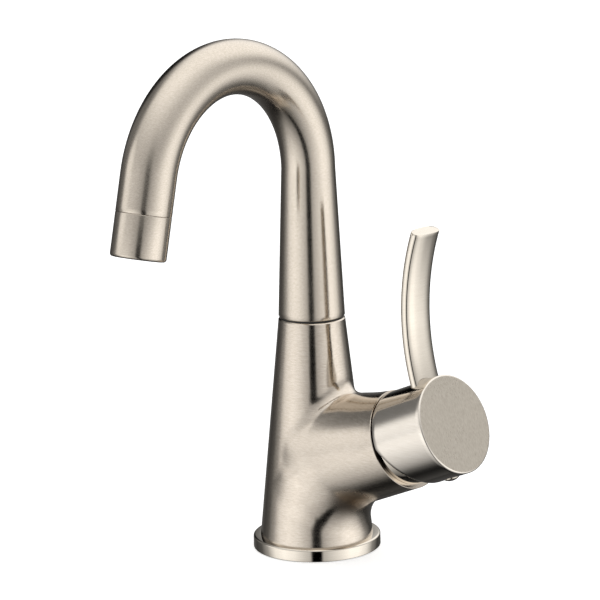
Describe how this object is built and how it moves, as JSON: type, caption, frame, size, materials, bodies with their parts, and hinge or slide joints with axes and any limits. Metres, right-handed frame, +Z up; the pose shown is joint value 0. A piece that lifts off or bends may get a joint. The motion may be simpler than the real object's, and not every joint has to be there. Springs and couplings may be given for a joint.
{
  "type": "single-lever basin mixer",
  "caption": "Basin mixer tap with a slim conical body, a tilted side boss that carries a ceramic cartridge and lever handle, and a swivelling gooseneck spout with an aerator.",
  "frame": {"origin": "centre of the underside of the base ring and body, on the deck plane", "axes": "+Z up along the body and the spout's swivel axis; the spout reaches forward along -Y; the handle boss leans out along +X"},
  "size_m": [0.1231, 0.1554, 0.2462],
  "materials": {
    "satin_nickel": "satin brushed nickel plating over brass",
    "bright_nickel": "brighter turned nickel plating over brass",
    "brass": "turned brass",
    "steel": "stainless steel",
    "rubber": "black rubber",
    "ceramic": "lapped alumina ceramic",
    "plastic": "pale acetal",
    "dark_plastic": "dark grey acetal"
  },
  "bodies": {
    "base": {"base_ring": "bright_nickel", "base_gasket": "rubber", "body": "satin_nickel", "spout_bearing_ring": "rubber", "spout_set_screw": "steel", "cartridge_base": "dark_plastic", "cartridge_seals": "rubber", "fixed_disc": "ceramic", "cartridge_housing": "plastic", "cartridge_nut": "brass", "dome_o_ring": "rubber", "cover_dome": "bright_nickel"},
    "spout_body": {"spout": "satin_nickel", "spout_tail": "brass", "spout_o_rings": "rubber", "aerator_sleeve": "bright_nickel", "aerator_washer": "rubber", "aerator_strainer": "steel", "aerator_insert": "plastic", "aerator_screen": "dark_plastic"},
    "guide": {"guide_collar": "dark_plastic", "pivot_pin": "steel"},
    "slider": {"moving_disc": "ceramic", "disc_carrier": "plastic"},
    "handle": {"lever_stem": "steel", "handle_hub": "satin_nickel", "lever_blade": "bright_nickel", "handle_set_screw": "steel", "index_plug": "bright_nickel"}
  },
  "joints": [
    {"name": "spout_swivel", "type": "hinge", "parent": "base", "child": "spout_body", "pos_m": [0, 0, 0.1105], "axis": [0, 0, 1], "range_deg": [-60, 60]},
    {"name": "handle_turn", "type": "hinge", "parent": "base", "child": "guide", "pos_m": [0.0556, 0, 0.0597], "axis": [0.9245, 0, 0.3811], "range_deg": [-45, 45]},
    {"name": "handle_lift", "type": "hinge", "parent": "guide", "child": "handle", "pos_m": [0.0556, 0, 0.0597], "axis": [0, 1, 0], "range_deg": [0, 25]},
    {"name": "disc_slide", "type": "slide", "parent": "guide", "child": "slider", "axis": [-0.3811, 0, 0.9245], "range_m": [0, 0.00528]}
  ],
  "couplings": [
    {"joint": "disc_slide", "follows": "handle_lift", "m_per_rad": 0.01206}
  ]
}
